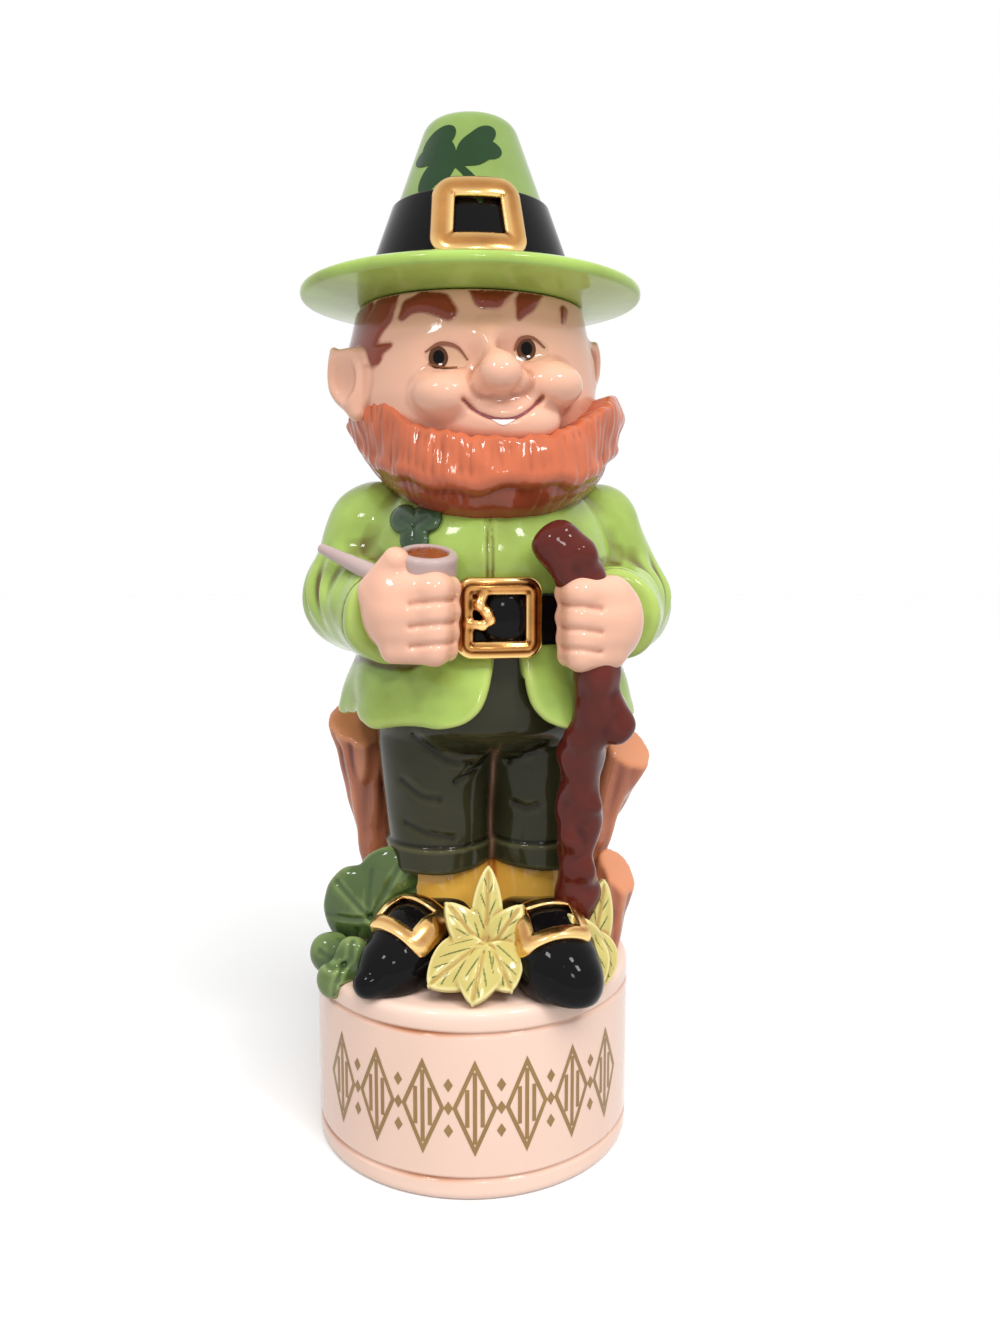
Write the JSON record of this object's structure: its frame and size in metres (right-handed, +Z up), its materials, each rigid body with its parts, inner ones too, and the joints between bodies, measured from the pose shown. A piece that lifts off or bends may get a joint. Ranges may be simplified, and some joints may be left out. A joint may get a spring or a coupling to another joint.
{
  "type": "figural liquor decanter",
  "caption": "Glazed ceramic decanter shaped as a bearded leprechaun with pipe and stick on a round drum, hollow from drum to head, with the tall hat on a cork as its stopper.",
  "frame": {"origin": "centre of the drum's flat foot", "axes": "+Z up through the stopper, the figure's front towards -Y"},
  "size_m": [0.1091, 0.1043, 0.3],
  "materials": {
    "cream_glaze": "gloss",
    "yellow_glaze": "gloss",
    "olive_glaze": "gloss",
    "green_glaze": "gloss",
    "skin_glaze": "gloss",
    "russet_glaze": "gloss",
    "black_glaze": "gloss",
    "gold_lustre": "gloss",
    "leaf_glaze": "gloss",
    "pipe_glaze": "gloss",
    "maroon_glaze": "gloss",
    "bark_glaze": "gloss",
    "pale_leaf_glaze": "gloss",
    "cork": "matte"
  },
  "bodies": {
    "vessel": {"base_drum": "cream_glaze", "stockings": "yellow_glaze", "trousers": "olive_glaze", "jacket": "green_glaze", "head": "skin_glaze", "mouth_ring": "cream_glaze", "beard": "russet_glaze", "belt": "black_glaze", "belt_buckle": "gold_lustre", "belt_prong": "gold_lustre", "lapel_shamrock": "leaf_glaze", "right_sleeve": "green_glaze", "left_sleeve": "green_glaze", "right_hand": "skin_glaze", "left_hand": "skin_glaze", "pipe_bowl": "pipe_glaze", "pipe_stem": "pipe_glaze", "walking_stick": "maroon_glaze", "right_shoe": "black_glaze", "left_shoe": "black_glaze", "right_shoe_buckle": "gold_lustre", "left_shoe_buckle": "gold_lustre", "tree_trunk": "bark_glaze", "right_log": "bark_glaze", "left_log": "bark_glaze", "left_stub": "bark_glaze", "front_leaf_spray": "pale_leaf_glaze", "side_leaf_spray": "pale_leaf_glaze", "clover_leaves": "leaf_glaze"},
    "stopper": {"cork": "cork"},
    "hat": {"hat_brim": "green_glaze", "hat_crown": "green_glaze", "hat_band": "black_glaze", "hat_buckle": "gold_lustre"}
  },
  "joints": [
    {"name": "stopper_lift", "type": "slide", "parent": "vessel", "child": "stopper", "axis": [0, 0, 1], "range_m": [0, 0.06]},
    {"name": "hat_turn", "type": "hinge", "parent": "stopper", "child": "hat", "pos_m": [0, 0, 0.25], "axis": [0, 0, 1], "continuous": true}
  ]
}
